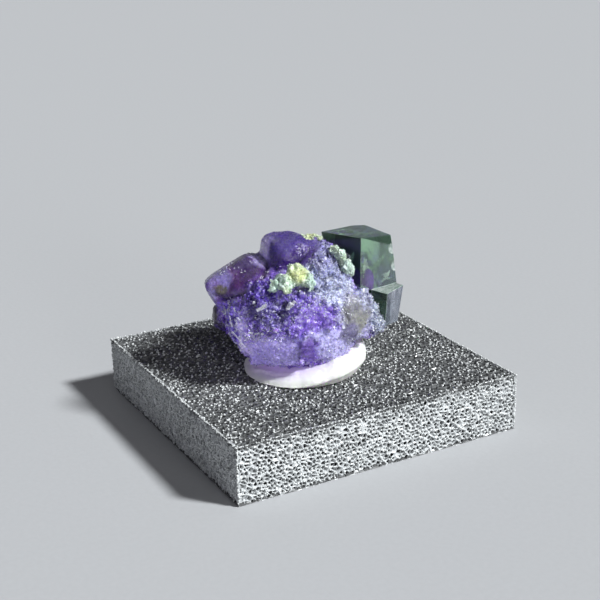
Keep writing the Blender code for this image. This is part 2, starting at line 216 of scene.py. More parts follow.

# Grooves between the lobes of the purple mass, darkened with painted shade: their points, half width and
# depth
LEFT_SEAM = (
    *((-8.6, -4.2, 13.9), (-7.4, -4.2, 13.6), (-6.5, -5.4, 14.2), (-5.1, -6.2, 15)),
    *((-4.4, -6, 15.5), (-3.8, -5.4, 16.1), (-3.4, -4, 16.5)),
)
SEAMS = (
    (LEFT_SEAM, 0.26, 0.3),
    (((-4.2, -0.6, 16.8), (-3.9, -1.8, 16.8), (-3.5, -2.8, 16.7), (-3.3, -4.1, 16.5)), 0.22, 0.28),
    (((-0.4, -4.5, 17.1), (0.2, -4.2, 17.5), (0.7, -3.4, 18)), 0.18, 0.12),
    (((3.9, -5.6, 13.6), (3.8, -6, 13), (4, -5.9, 12.3), (4.3, -5.7, 11.6)), 0.13, 0.12),
    (((-0.4, -8, 10.2), (-0.6, -7.8, 9.3), (-0.55, -7.4, 8.4)), 0.12, 0.12),
    (((-0.2, -8.1, 10.7), (0.4, -8, 10.8), (1, -7.8, 10.3)), 0.12, 0.12),
    (((-0.5, -6.6, 15.1), (0.1, -6.2, 15.2)), 0.35, 0.25),
    (((-4.8, -7, 13.2), (-3.4, -7.6, 12.9), (-2.4, -7.9, 12.4)), 0.35, 0.08),
)

# Swarms of tiny crystals on the purple mass, pale to near white as painted glints: centre, radii, how many,
# their sides, and the way that their longest side looks
GLINT = (0.4, -0.69, 0.6)
DOWN_LEFT_EDGE = (0.45, -0.43, -0.78)
GRAIN = (0.09, 0.09, 0.09)
SPARKLES = (
    ((1.2, -7, 13.6), (2.6, 1.6, 1.3), 60, GRAIN, GLINT),
    ((-3.6, -7.4, 10.9), (2.8, 1.2, 0.35), 60, GRAIN, GLINT),
    ((-4.9, -7.5, 11.1), (1, 1.2, 0.35), 40, (0.1, 0.1, 0.14), GLINT),
    ((-3.2, -7, 12.4), (2.8, 2, 1.6), 90, GRAIN, GLINT),
    ((-2, -4.6, 16.3), (2.2, 1.2, 0.5), 16, GRAIN, GLINT),
    ((-6.4, -2.6, 16), (2.2, 1.6, 0.5), 30, GRAIN, GLINT),
    ((2.6, -4.8, 15.6), (2.6, 2.4, 2.8), 120, GRAIN, GLINT),
    ((3.6, -6, 12.4), (1, 1.6, 1.6), 40, GRAIN, GLINT),
    ((7.2, -3, 10.6), (1, 1.4, 2), 50, (0.12, 0.12, 0.16), GLINT),
    ((-6.8, -5.6, 11.2), (1.5, 2.2, 2.8), 90, (0.1, 0.14, 0.26), DOWN_LEFT_EDGE),
    ((-4, -7.2, 11.6), (2.6, 2, 1.4), 40, (0.05, 0.05, 0.3), (0.9, 0.3, -0.3)),
)

# Where the fine surface lies inside the solid's: centre, radii and depth
TRIMS = (
    ((-7, -4, 10.2), (1.6, 3.2, 2.4), 0.3),
    ((7.3, -3, 10.3), (1, 1.5, 1.6), -0.3),
    ((3.6, -3.4, 17.4), (1.4, 2, 1.6), 0.35),
)


def to_metres(points):
    """World coordinates of points in the specimen's axes."""
    x, y, z = np.moveaxis(np.asarray(points, float), -1, 0)
    return np.stack([x * COS - y * SIN, x * SIN + y * COS, z], -1) * MM


def to_specimen(points):
    """Millimetres in the specimen's axes for points in world coordinates."""
    x, y, z = np.moveaxis(np.asarray(points, float) / MM, -1, 0)
    return np.stack([x * COS + y * SIN, -x * SIN + y * COS, z], -1)


def linked(name, data):
    """A new object in the scene."""
    made = bpy.data.objects.new(name, data)
    bpy.context.scene.collection.objects.link(made)
    return made


def new_object(name, mesh):
    """A new piece that rides on the body."""
    made = linked(name, mesh)
    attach(made, "root")
    return made


def mesh_from(bm, name):
    """The mesh that a bmesh describes. Frees the bmesh."""
    mesh = bpy.data.meshes.new(name)
    bm.to_mesh(mesh)
    bm.free()
    return mesh


def mesh_of(name, points, faces):
    """A flat-faced mesh from points in metres and a list or array of faces."""
    mesh = bpy.data.meshes.new(name)
    mesh.from_pydata(np.asarray(points).tolist(), [], [list(map(int, f)) for f in faces])
    return mesh


def read(values, key):
    """Three numbers of each item of a mesh's collection."""
    flat = np.zeros(len(values) * 3)
    values.foreach_get(key, flat)
    return flat.reshape(-1, 3)


def surface(mesh):
    """The mesh's points and the ways they face, in the specimen's axes."""
    return to_specimen(read(mesh.vertices, "co")), to_specimen(read(mesh.vertex_normals, "vector") * MM)


def set_points(mesh, points):
    """Moves the mesh's points to these, in metres."""
    mesh.vertices.foreach_set("co", np.asarray(points, float).ravel())
    mesh.update()


def welded(node):
    """A bmesh copy of a CAD node with its doubled points joined."""
    bm = bmesh.new()
    bm.from_mesh(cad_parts[node].data)
    bmesh.ops.remove_doubles(bm, verts=bm.verts, dist=1e-7)
    return bm


def tree_of(node):
    """A CAD node's surface, to find the nearest point of."""
    bm = welded(node)
    tree = BVHTree.FromBMesh(bm)
    bm.free()
    return tree


def applied(mesh, name, **settings):
    """The mesh after one modifier with these settings."""
    carrier = linked("carrier", mesh)
    modifier = carrier.modifiers.new(name, name)
    for key, value in settings.items():
        setattr(modifier, key, value)
    depsgraph = bpy.context.evaluated_depsgraph_get()
    made = bpy.data.meshes.new_from_object(carrier.evaluated_get(depsgraph))
    bpy.data.objects.remove(carrier)
    return made


def remeshed(node, voxel):
    """A fine even mesh of a CAD node's shape."""
    mesh = mesh_from(welded(node), node)
    return applied(mesh, "REMESH", mode="VOXEL", voxel_size=voxel * MM, use_smooth_shade=True)


def reach(mesh, tree, furthest, overlap):
    """Moves the points that lie near another solid's surface onto it and a little further, which closes the
    gap that the solids keep."""
    points, ways = read(mesh.vertices, "co"), read(mesh.vertex_normals, "vector")
    for i, p in enumerate(points):
        near, _, _, distance = tree.find_nearest(Vector(p), furthest * MM)
        if near is None or distance == 0:
            continue
        path = np.array(near) - p
        if path @ ways[i] > 0.5 * distance:
            fade = 1 - max(0.0, distance / MM - CAD_GAP) / (furthest - CAD_GAP)
            points[i] = p + path / distance * (distance + overlap * MM) * fade
    set_points(mesh, points)


def waves(points, width, seed, octaves=1):
    """Noise from -1 to 1 at points in millimetres. Its features are about this wide."""
    shift = Vector((seed * 17.3, seed * 5.1, seed * 9.7))
    layers = [(2.0**k / width, 0.5**k) for k in range(octaves)]
    places = (Vector(p) for p in points.tolist())
    return np.array([sum(w * noise.noise(p * f + shift) for f, w in layers) for p in places])


def soft_inside(points, centre, radii):
    """1 well inside an ellipsoid and 0 well outside it."""
    away = np.linalg.norm((points - centre) / radii, axis=1)
    t = np.clip((1.3 - away) / 0.6, 0, 1)
    return t * t * (3 - 2 * t)


def purple_looks(points, scatter):
    """The colour and smoothness of the purple mass at points, with the zones' borders shifted by scatter."""
    moved = points + scatter
    looks = np.tile((*VIOLET, 0.1), (len(points), 1))
    for *zone, tint, smooth in PURPLE_ZONES:
        share = soft_inside(moved, *zone)[:, None]
        looks = looks * (1 - share) + np.array((*tint, smooth)) * share
    return looks[:, :3], looks[:, 3]


def seam_share(points, line, width):
    """How near each point lies to a line of points: 1 on it and 0 a few widths away."""
    line = np.array(line)
    away = np.full(len(points), np.inf)
    for a, b in zip(line, line[1:]):
        t = np.clip((points - a) @ (b - a) / ((b - a) @ (b - a)), 0, 1)
        away = np.minimum(away, np.linalg.norm(points - a - t[:, None] * (b - a), axis=1))
    return np.exp(-((away / width) ** 2))


def turns(random, count, swing, base=(0, 0, 0)):
    """Rotation matrices that differ from base, in degrees, by up to swing."""
    angles = np.radians(base + random.uniform(-swing, swing, (count, 3)))
    cx, cy, cz = np.cos(angles).T
    sx, sy, sz = np.sin(angles).T
    rows = (
        (cy * cz, sx * sy * cz - cx * sz, cx * sy * cz + sx * sz),
        (cy * sz, sx * sy * sz + cx * cz, cx * sy * sz - sx * cz),
        (-sy, sx * cy, cx * cy),
    )
    return np.array(rows).transpose(2, 0, 1)


def towards(way):
    """The rotation matrix that turns Z to this way."""
    return np.array(Vector(way).to_track_quat("Z", "Y").to_matrix())


CUBE_FACES = ((0, 1, 3, 2), (4, 6, 7, 5), (0, 4, 5, 1), (2, 3, 7, 6), (0, 2, 6, 4), (1, 5, 7, 3))
CUBE_CORNERS = np.array([[x, y, z] for x in (-0.5, 0.5) for y in (-0.5, 0.5) for z in (-0.5, 0.5)])


def cubes(centres, sides, matrices):
    """Points and faces of small crystals."""
    corners = np.einsum("nij,ncj->nci", matrices, CUBE_CORNERS[None] * sides[:, None])
    points = (corners + centres[:, None]).reshape(-1, 3)
    faces = (np.arange(len(sides))[:, None, None] * 8 + np.array(CUBE_FACES)).reshape(-1, 4)
    return points, faces


def scattered(mesh, random, spacing):
    """Places spread over the mesh about spacing apart, as indices of its points."""
    points, _ = surface(mesh)
    taken, kept = set(), []
    for i in random.permutation(len(points)):
        key = tuple((points[i] // spacing).astype(int))
        if key not in taken:
            taken.add(key)
            kept.append(i)
    return np.array(kept)


def softened(mesh, weight, steps):
    """Rounds the mesh where weight is 1, by moving each point towards its neighbours' middle."""
    ends = np.zeros(len(mesh.edges) * 2, int)
    mesh.edges.foreach_get("vertices", ends)
    a, b = ends.reshape(-1, 2).T
    points = read(mesh.vertices, "co")
    count = np.bincount(ends, minlength=len(points))[:, None]
    for _ in range(steps):
        total = np.zeros_like(points)
        for axis in range(3):
            total[:, axis] = np.bincount(a, points[b, axis], len(points))
            total[:, axis] += np.bincount(b, points[a, axis], len(points))
        points += (total / count - points) * (0.5 * weight)[:, None]
    set_points(mesh, points)


def faceted(mesh, random, spacing, steepest, furthest, weight):
    """Breaks the surface into flat facets, each tilted its own way, where weight is 1. Returns the facet that
    each point belongs to."""
    points, ways = surface(mesh)
    chosen = scattered(mesh, random, spacing)
    finder = KDTree(len(chosen))
    for number, i in enumerate(chosen):
        finder.insert(points[i], number)
    finder.balance()
    nearest = np.array([finder.find(p)[1] for p in points.tolist()])
    tilts = random.normal(0, steepest / 2, (len(chosen), 3))
    steps = random.uniform(-0.3, 0.3, len(chosen)) * furthest
    away = points - points[chosen][nearest]
    rise = np.clip((away * tilts[nearest]).sum(1) + steps[nearest], -furthest, furthest)
    set_points(mesh, to_metres(points + ways * (rise * weight)[:, None]))
    return nearest


def uneven(random, edges):
    """Three different sides for each of the edges."""
    return edges[:, None] * random.uniform(SHORTEST, LONGEST, (len(edges), 3))


def with_crystals(mesh, centres, sides, matrices):
    """Joins flat-faced crystals to the smooth mesh. Returns how many points came before them."""
    more, quads = cubes(centres, sides, matrices)
    first = len(mesh.vertices)
    bm = bmesh.new()
    bm.from_mesh(mesh)
    verts = [bm.verts.new(p) for p in to_metres(more).tolist()]
    for face in quads.tolist():
        bm.faces.new([verts[i] for i in face]).smooth = False
    bm.to_mesh(mesh)
    bm.free()
    mesh.update()
    return first


def store(mesh, name, kind, values):
    """Keeps a value of each point with the mesh, for the material to read."""
    layer = mesh.attributes.new(name, kind, "POINT")
    key = "color" if kind == "FLOAT_COLOR" else "value"
    layer.data.foreach_set(key, np.ascontiguousarray(values, dtype=np.float32).ravel())


def store_tint(mesh, colour):
    store(mesh, "tint", "FLOAT_COLOR", np.column_stack([np.clip(colour, 0, 1), np.ones(len(colour))]))


# Materials


class Nodes:
    """Short calls to build a material."""

    def __init__(self, name):
        self.material = bpy.data.materials.new(name)
        self.material.use_nodes = True
        self.tree = self.material.node_tree
        self.shader = self.tree.nodes["Principled BSDF"]
        self.out = self.tree.nodes["Material Output"]
        self.place = self.add("TexCoord").outputs["Object"]

    def add(self, kind, sockets=(), **settings):
        """A new node with its settings and with a value or a link for each of these sockets."""
        node = self.tree.nodes.new("ShaderNode" + kind)
        for key, value in settings.items():
            setattr(node, key, value)
        for key, value in dict(sockets).items():
            self.link(value, node.inputs[key])
        return node

    def link(self, source, target):
        """Joins a socket to the target, or gives the target a value."""
        if isinstance(source, bpy.types.NodeSocket):
            self.tree.links.new(source, target)
        else:
            target.default_value = source

    def set(self, **values):
        """Gives the shader's own sockets these values."""
        for key, value in values.items():
            self.link(value, self.shader.inputs[key.replace("_", " ")])

    def noise(self, width, detail=2.0, rough=0.5, stretch=(1, 1, 1)):
        """Noise from 0 to 1 with features about width millimetres wide."""
        scale = [s / (width * MM) for s in stretch]
        place = self.add("Mapping", {"Vector": self.place, "Scale": scale}).outputs[0]
        sockets = {"Vector": place, "Scale": 1.0, "Detail": detail, "Roughness": rough}
        return self.add("TexNoise", sockets).outputs["Fac"]

    def cells(self, width):
        """The distance from the middle of a cell about width millimetres wide, where the cell is 1 wide."""
        sockets = {"Vector": self.place, "Scale": 1 / (width * MM)}
        return self.add("TexVoronoi", sockets).outputs["Distance"]

    def ranged(self, value, low, high, to_low=0.0, to_high=1.0):
        """The values from low to high stretched to another range."""
        return self.add("MapRange", enumerate((value, low, high, to_low, to_high))).outputs[0]

    def math(self, operation, a, b):
        return self.add("Math", {0: a, 1: b}, operation=operation).outputs[0]

    def mixed(self, share, a, b, blend="MIX"):
        """Colour a with this share of colour b over it."""
        a, b = (c if isinstance(c, bpy.types.NodeSocket) else (*c, 1.0) for c in (a, b))
        # Sockets 6 and 7 take colours, and socket 2 gives one.
        return self.add("Mix", {0: share, 6: a, 7: b}, data_type="RGBA", blend_type=blend).outputs[2]

    def value_of(self, name, output="Fac"):
        return self.add("Attribute", attribute_name=name).outputs[output]

    def bump(self, height, strength, depth, under=None):
        """Normals for a height from 0 to 1 that stands for depth millimetres."""
        sockets = {"Height": height, "Strength": strength, "Distance": depth * MM}
        if under is not None:
            sockets["Normal"] = under
        return self.add("Bump", sockets).outputs[0]

    def absorb(self, colour, density):
        """Colour that deepens with the light's path inside. density is per metre."""
        node = self.add("VolumeAbsorption", {"Color": (*colour, 1.0), "Density": density})
        self.link(node.outputs[0], self.out.inputs["Volume"])

    def glass(self, colour, roughness, normal, clear, inside):
        """Fluorite that lets the share clear of the light in. inside is the colour and density it absorbs."""
        self.set(Base_Color=colour, Roughness=roughness, IOR=FLUORITE_IOR, Normal=normal)
        self.set(Transmission_Weight=clear)
        self.absorb(*inside)


def purple_material():
    n = Nodes("purple_fluorite")
    clouds = n.ranged(n.noise(1.1, 4, 0.65), 0.38, 0.66)
    grain = n.noise(0.2, 3, 0.65)
    shade = n.ranged(grain, 0.3, 0.7, 0.6, 1.45)
    colour = n.mixed(1.0, n.value_of("tint", "Color"), shade, "MULTIPLY")
    pale = n.mixed(0.3, colour, (0.72, 0.7, 0.98))
    colour = n.mixed(n.math("MULTIPLY", clouds, 0.5), colour, pale)
    uneven_rough = n.ranged(n.noise(0.5, 2, 0.5), 0.3, 0.7, -0.05, 0.1)
    rough = n.math("ADD", n.ranged(n.value_of("smooth"), 0.0, 1.0, 0.28, 0.24), uneven_rough)
    normal = n.bump(n.noise(0.9, 4, 0.65), 0.5, 0.22, n.bump(grain, 0.45, 0.06))
    n.glass(colour, rough, normal, n.value_of("clear"), ((0.66, 0.46, 0.92), 150.0))
    n.set(Specular_IOR_Level=0.45)
    n.set(Coat_Weight=0.12, Coat_Roughness=0.16, Coat_IOR=1.5)
    n.set(Subsurface_Weight=0.35, Subsurface_Radius=(0.55, 0.42, 1.0), Subsurface_Scale=1.6 * MM)
    return n.material


def green_material(name, colour):
    n = Nodes(name)
    veins = n.noise(0.25, 3, 0.6, (1, 1, 0.12))
    normal = n.bump(n.noise(1.8, 2, 0.5), 0.06, 0.1, n.bump(veins, 0.08, 0.05))
    n.glass((*colour, 1), 0.24, normal, 0.94, ((0.36, 0.7, 0.43), 170.0))
    return n.material


def worn_and_glint_material():
    n = Nodes("green_fluorite_worn_and_glint")
    # Pale on the bevelled edges: partly wear and partly painted highlight lines
    chatter = n.noise(0.3, 3, 0.65)
    colour = n.mixed(n.ranged(chatter, 0.42, 0.6), (0.3, 0.46, 0.38), (0.93, 0.98, 0.95))
    n.glass(colour, 0.3, n.bump(chatter, 0.5, 0.05), 0.3, CLOUDED)
    return n.material


def chipped_and_painted_light_material():
    n = Nodes("green_fluorite_chipped_and_painted_light")
    # Pale where the crystal is chipped, and on the step's top as painted light
    steps = n.noise(0.25, 3, 0.6)
    colour = n.mixed(n.ranged(steps, 0.35, 0.65), (0.36, 0.48, 0.42), (0.84, 0.92, 0.88))
    n.glass(colour, 0.22, n.bump(steps, 0.5, 0.08), 0.55, CLOUDED)
    return n.material


def cloudy_material():
    """The step's right face, with upright milky streaks in lilac."""
    n = Nodes("green_fluorite_cloudy")
    streaks = n.ranged(n.noise(0.8, 4, 0.6, (1, 1, 0.3)), 0.36, 0.7)
    colour = n.mixed(streaks, (0.44, 0.5, 0.62), (0.8, 0.84, 0.97))
    clear = n.ranged(streaks, 0.0, 1.0, 0.8, 0.62)
    n.glass(colour, 0.22, n.bump(streaks, 0.2, 0.05), clear, CLOUDED)
    return n.material


def veil_material():
    n = Nodes("veils")
    n.set(Base_Color=n.mixed(n.noise(0.3), (0.6, 0.68, 0.66), (0.95, 0.97, 0.96)), Roughness=0.3)
    return n.material


def phantom_material():
    n = Nodes("purple_phantom")
    mist = n.noise(0.5, 3, 0.6)
    colour = n.mixed(n.ranged(mist, 0.3, 0.7), (0.08, 0.01, 0.34), (0.26, 0.06, 0.6))
    n.set(Base_Color=colour, Roughness=0.5, Normal=n.bump(mist, 0.3, 0.08))
    return n.material


def pale_material():
    n = Nodes("pale_fluorite")
    tint = n.value_of("tint", "Color")
    grain = n.noise(0.2, 2, 0.6)
    colour = n.mixed(1.0, tint, n.ranged(grain, 0.3, 0.7, 0.8, 1.15), "MULTIPLY")
    n.set(Base_Color=colour, Roughness=n.ranged(grain, 0.3, 0.7, 0.22, 0.4), IOR=FLUORITE_IOR)
    n.set(Normal=n.bump(grain, 0.3, 0.05), Transmission_Weight=0.12)
    n.set(Subsurface_Weight=0.5, Subsurface_Radius=(0.5, 0.6, 0.38), Subsurface_Scale=0.9 * MM)
    return n.material


def putty_material():
    n = Nodes("putty")
    soft = n.noise(1.2, 3, 0.55)
    white = n.mixed(n.ranged(soft, 0.3, 0.7), (0.94, 0.92, 0.87), (0.97, 0.955, 0.92))
    # The violet mixed in near the mass is painted light that comes through the crystal
    colour = n.mixed(n.value_of("lilac"), white, (0.7, 0.52, 1.0))
    n.set(Base_Color=colour, Roughness=n.ranged(soft, 0.3, 0.7, 0.42, 0.6))
    n.set(Subsurface_Weight=0.5, Subsurface_Radius=(1.0, 0.78, 1.15), Subsurface_Scale=1.9 * MM)
    n.set(Normal=n.bump(n.noise(0.5, 3, 0.6), 0.25, 0.08))
    return n.material


def foam_material(inside, painted_light_share):
    """Foam whose greys run over the first range deep in its cells and over the second on the struts at the
    face:
    painted shade in the cells and painted light on the struts."""
    n = Nodes("foam")
    grime = n.ranged(n.noise(0.5, 2, 0.6), 0.3, 0.7)
    deep, edge = (n.mixed(grime, *((v, v * 1.03, v * 1.04) for v in greys)) for greys in (inside, painted_light_share))
    n.set(Base_Color=n.mixed(n.value_of("painted_light_share"), deep, edge))
    n.set(Roughness=n.ranged(n.noise(0.8, 2), 0.3, 0.7, 0.28, 0.46))
    n.set(Specular_IOR_Level=0.7, Coat_Weight=0.4, Coat_Roughness=0.25)
    return n.material


def glint_bead_material():
    n = Nodes("foam_strut_ends_painted_glint")
    # Near white on dark foam: painted glints on the strut ends
    colour = n.mixed(n.noise(0.4, 1), (0.5, 0.52, 0.51), (0.95, 0.97, 0.96))
    n.set(Base_Color=colour, Roughness=0.3, Coat_Weight=0.5, Coat_Roughness=0.15)
    return n.material


def core_painted_shade_material():
    n = Nodes("foam_inside_painted_shade")
    # Near-black greys: painted shade deep in the foam
    pores = n.cells(0.45)
    colour = n.mixed(n.ranged(pores, 0.1, 0.6), (0.15, 0.155, 0.16), (0.05, 0.05, 0.052))
    n.set(Base_Color=colour, Roughness=0.9, Normal=n.bump(pores, 0.5, 0.1))
    return n.material


def floor_material():
    n = Nodes("floor")
    paper = n.noise(0.5, 2, 0.5)
    colour = n.mixed(paper, (0.46, 0.465, 0.475), (0.5, 0.505, 0.515))
    n.set(Base_Color=colour, Roughness=0.8, Normal=n.bump(paper, 0.2, 0.05))
    return n.material


# Foam


def sites(random, width, height, spacing):
    """Centres of cells in a rectangle, and their mirror images across its sides, so that cells end there."""
    row = spacing * math.sqrt(3) / 2
    rows, columns = round(height / row), round(width / spacing)
    i, j = np.meshgrid(np.arange(columns), np.arange(rows))
    u = (i.ravel() + 0.25 + 0.5 * (j.ravel() % 2)) * width / columns
    v = (j.ravel() + 0.5) * height / rows
    own = np.stack([u, v], 1) + random.uniform(-CELL_JITTER, CELL_JITTER, (len(u), 2)) * spacing
    own = own[random.random(len(own)) > CELLS_MERGED]
    own = np.clip(own, 0.08 * spacing, np.array([width, height]) - 0.08 * spacing)
    every = own
    for axis, size in ((0, width), (1, height)):
        low, high = every[every[:, axis] < 2 * spacing], every[every[:, axis] > size - 2 * spacing]
        low[:, axis] *= -1
        high[:, axis] = 2 * size - high[:, axis]
        every = np.concatenate([every, low, high])
    return own, every


def lace(random, width, height, spacing, lips, shallow):
    """The cut face of open-cell foam, in a rectangle: u, v and how far each point stands above the face.
    Each cell is a cup between sharp rims, with a hole at its bottom."""
    own, every = sites(random, width, height, spacing)
    found, _, triangles, _, _, _ = delaunay_2d_cdt([Vector(p) for p in every.tolist()], [], [], 0, 1e-7)
    at = np.array([tuple(p) for p in found])
    tri = np.array(triangles)
    a = at[tri[:, 0]]
    b, c = at[tri[:, 1]] - a, at[tri[:, 2]] - a
    twice = 2 * (b[:, 0] * c[:, 1] - b[:, 1] * c[:, 0])
    bb, cc = (b**2).sum(1), (c**2).sum(1)
    ux, uy = (c[:, 1] * bb - b[:, 1] * cc) / twice, (b[:, 0] * cc - c[:, 0] * bb) / twice
    rims = np.clip(a + np.stack([ux, uy], 1), 0, (width, height))  # where the cells around meet
    around = [[] for _ in at]
    for t, corners in enumerate(tri.tolist()):
        for k in corners:
            around[k].append(t)
    points = [np.column_stack([rims, -np.abs(random.normal(0, 0.1, len(rims)))])]
    faces = []
    count = len(rims)
    for centre, ring in list(zip(at, around))[: len(own)]:
        if len(ring) < 3:
            continue
        spoke = rims[ring] - centre
        order = np.argsort(np.arctan2(spoke[:, 1], spoke[:, 0]))
        ring, spoke = [ring[k] for k in order], spoke[order]
        size = np.linalg.norm(spoke, axis=1).mean()
        even = spoke / (np.linalg.norm(spoke, axis=1, keepdims=True) + 1e-9) * size
        middle = centre + random.uniform(-0.12, 0.12, 2) * size
        lip = random.uniform(*lips)
        hole = lip * random.uniform(*CELL_HOLE)
        low = random.uniform(shallow, 0.9) * CORE_DEPTH
        m = len(ring)
        cup = middle + (spoke * 0.5 + even * 0.5) * lip
        end = middle + (spoke * 0.2 + even * 0.8) * hole
        lip_rise = (random.uniform(-0.1, 0.1, m) - 0.28) * min(low, 0.6 * CORE_DEPTH) / 0.6
        points += [np.column_stack([cup, lip_rise]), np.column_stack([end, np.full(m, -low)])]
        for k in range(m):
            j = (k + 1) % m
            faces.append((ring[k], ring[j], count + j, count + k))
            faces.append((count + k, count + j, count + m + j, count + m + k))
        count += 2 * m
    return np.concatenate(points), faces


BEAD = np.array([[1, 0, 0], [-1, 0, 0], [0, 1, 0], [0, -1, 0], [0, 0, 1], [0, 0, -1]], float)
BEAD_FACES = ((0, 2, 4), (2, 1, 4), (1, 3, 4), (3, 0, 4), (2, 0, 5), (1, 2, 5), (3, 1, 5), (0, 3, 5))


def beads(random, mesh_points, flat, share, size):
    """The molten, rounded ends of struts, as small beads at the highest points of a cut face. Their
    near-white material makes them painted glints.
    """
    tips = np.flatnonzero((flat[:, 2] > -BEAD_DEPTH) & (flat[:, 1] > BEAD_RISE))
    tips = tips[random.random(len(tips)) < share]
    size = random.uniform(*size, len(tips))
    points = (mesh_points[tips][:, None] + BEAD * size[:, None, None]).reshape(-1, 3)
    faces = (np.arange(len(tips))[:, None, None] * 6 + np.array(BEAD_FACES)).reshape(-1, 3)
    return points, faces


def foam_faces(name, frames, height, cell, lips, shallow, share, size, fade):
    """Cut faces of the foam with their beads, as wide as the pad, in frames of a corner and two ways. Within
    fade of their tops the struts have less painted light and are darker."""
    random = np.random.default_rng(SEEDS[name])
    flats, places, faces, count = [], [], [], 0
    for corner, along, up in frames:
        flat, quads = lace(random, 2 * PAD_HALF, height, cell, lips, shallow)
        flats.append(flat)
        places.append(np.array(corner) + flat @ np.array([along, up, np.cross(along, up)]))
        faces += [tuple(k + count for k in quad) for quad in quads]
        count += len(flat)
    flat, points = np.concatenate(flats), np.concatenate(places)
    ends, tris = beads(random, points, flat, share, size)
    mesh = mesh_of(name, np.concatenate([points, ends]) * MM, faces + list(tris + count))
    only = np.arange(len(mesh.polygons)) >= len(faces)
    mesh.polygons.foreach_set("use_smooth", only)
    mesh.polygons.foreach_set("material_index", only.astype(np.int32))
    light = np.clip((height - flat[:, 1]) / fade, 0, 1) if fade else 1.0
    # Painted light and shade: the struts at the face are lighter, and the cells grow darker with depth
    painted_light_share = light * np.clip(1 + flat[:, 2] / PAINTED_LIGHT_DEPTH, 0, 1)
    store(mesh, "painted_light_share", "FLOAT", np.concatenate([painted_light_share, np.ones(len(ends))]))
    return mesh


def foam_shell():
    """The pad's top, bottom and sides."""
    far, none = PAD_HALF, (0.0, 0.0)
    x, y, z = np.eye(3)
    top = [((-far, -far, PAD_TOP), x, y)]
    bottom = [((-far, far, 0), x, -y)]
    sides = [
        ((far * (s - c), -far * (s + c), 0), (c, s, 0), z) for c, s in ((1, 0), (0, 1), (-1, 0), (0, -1))
    ]
    return (
        foam_faces("foam_top", top, 2 * far, CELL, TOP_LIPS, 0.5, 0.16, (0.06, 0.15), 0),
        foam_faces("foam_bottom", bottom, 2 * far, BOTTOM_CELL, TOP_LIPS, 0.5, 0, none, 0),
        foam_faces("foam_sides", sides, PAD_TOP, SIDE_CELL, SIDE_LIPS, 0.25, 0.45, (0.05, 0.12), RIM_FADE),
    )


def foam_inside_painted_shade():
    """The inside of the foam, near black as painted shade."""
    bm = bmesh.new()
    bmesh.ops.create_cube(bm, size=1.0)
    inner = PAD_HALF - CORE_DEPTH
    for v in bm.verts:
        v.co = (v.co.x * 2 * inner, v.co.y * 2 * inner, CORE_DEPTH if v.co.z < 0 else PAD_TOP - CORE_DEPTH)
    bmesh.ops.subdivide_edges(bm, edges=bm.edges, cuts=24, use_grid_fill=True)
    bmesh.ops.scale(bm, vec=(MM, MM, MM), verts=bm.verts)
    return mesh_from(bm, "foam_inside_painted_shade")


# Specimen


def keep_looks(mesh, colour, smooth, lightness):
    """Stores a purple piece's colour, its smoothness, and how clear it is, which is less where it is pale."""
    clear = np.clip(0.38 + 0.2 * smooth - 0.9 * np.maximum(lightness - 0.2, 0), 0.05, 0.6)
    store_tint(mesh, colour)
    store(mesh, "smooth", "FLOAT", smooth)
    store(mesh, "clear", "FLOAT", clear)


def mass_relief(mesh, random):
    """Gives the purple mass its swells, pits, seams and facets. Returns how crusty each point is, how much
    painted shade darkens it in the pits and seams, its facet, and how far the zones' borders wander there."""
    points, ways = surface(mesh)
    scatter = np.stack([waves(points, 1.1, s, 3) for s in (1, 2, 3)], 1) * BORDER_SCATTER
    tone, smooth = purple_looks(points, scatter)
    rise = waves(points, 1.4, 4, 2) * SWELL
    for centre, radii, depth in TRIMS:
        rise = rise - depth * soft_inside(points, centre, radii)
    set_points(mesh, to_metres(points + ways * rise[:, None]))
    crusty = np.clip(1.15 - 1.4 * smooth, 0.0, 1)
    lobe, window = soft_inside(points, *ROUND_LEFT), soft_inside(points, *ROUND_WINDOW)
    softened(mesh, np.maximum(0.15 + 0.45 * crusty, lobe), 14)
    softened(mesh, np.maximum(lobe, window * 0.4), 130)
    points, ways = surface(mesh)
    rise = lobe * LOBE_RISE + window * waves(points, 0.7, 7, 3) * WINDOW_RIPPLE
    shaded = np.clip(1.6 - 2.5 * tone.mean(1), 0, 1)
    pits = np.clip(3 * waves(points, 0.8, 8, 2) - 0.3, 0, 1) * crusty * shaded
    rise = rise - PIT_DEPTH * pits
    # Painted shade: the pits and the seams are darkened where shade would fall in them
    painted_shade = 1.05 - PAINTED_PIT_SHADE * pits
    for line, width, depth in SEAMS:
        share = seam_share(points + scatter * 0.3, line, width)
        rise = rise - depth * share
        painted_shade *= 1 - PAINTED_SEAM_SHADE * share
    set_points(mesh, to_metres(points + ways * rise[:, None]))
    faceted(mesh, random, 0.9, 0.45, 0.13, crusty)
    facet = faceted(mesh, random, 0.26, 0.9, 0.08, np.maximum(crusty, 0.2))
    return crusty, painted_shade, facet, scatter


